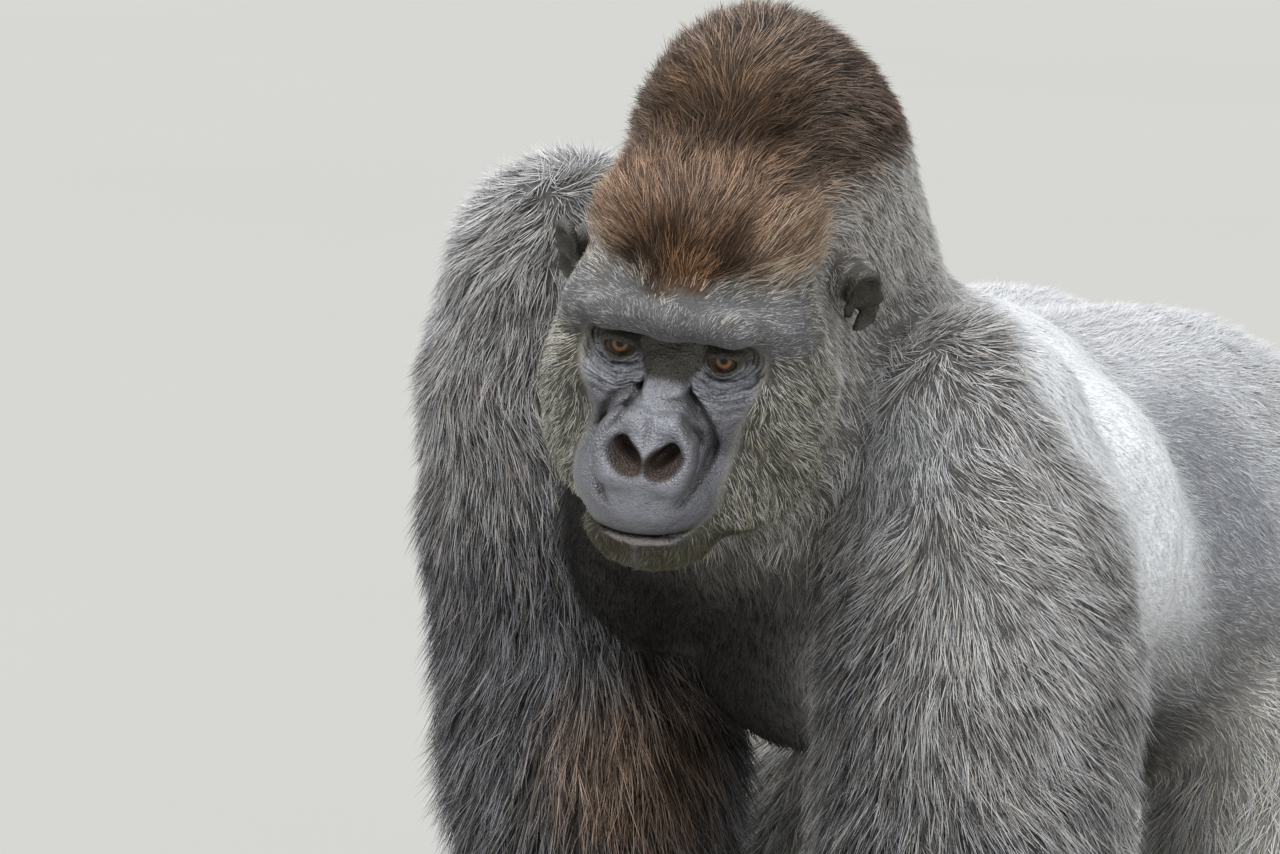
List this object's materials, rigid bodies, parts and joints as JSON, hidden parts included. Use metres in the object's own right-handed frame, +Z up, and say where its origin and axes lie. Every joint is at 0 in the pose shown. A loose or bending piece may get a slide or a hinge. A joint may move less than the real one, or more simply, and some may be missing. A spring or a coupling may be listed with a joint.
{
  "type": "gorilla",
  "caption": "Adult male silverback gorilla, life size, standing still on its knuckles and soles with the head lowered and turned a little to its left.",
  "frame": {"origin": "on the floor under the middle of the bounding box", "axes": "+Z up, the animal faces -Y, its left side is +X"},
  "size_m": [0.62, 0.982, 1.1126],
  "materials": {
    "crown": "short dense reddish brown hair",
    "face": "bare blue-black skin with a low sheen",
    "grey": "grey-brown hair with pale tips",
    "dark": "long blue-black hair",
    "silver": "very short silver white hair",
    "hip": "warm light grey hair",
    "eye": "wet and glossy"
  },
  "bodies": {
    "root": {"head": "crown", "jaw": "face", "ear_left": "face", "eye_left": "eye", "ear_right": "face", "eye_right": "eye", "neck": "grey", "chest": "grey", "belly": "silver", "rump": "hip", "upper_arm_left": "grey", "forearm_left": "dark", "hand_left": "face", "thumb_left": "face", "thigh_left": "hip", "shank_left": "dark", "foot_left": "face", "upper_arm_right": "dark", "forearm_right": "dark", "hand_right": "face", "thumb_right": "face", "thigh_right": "hip", "shank_right": "dark", "foot_right": "face"}
  },
  "joints": []
}
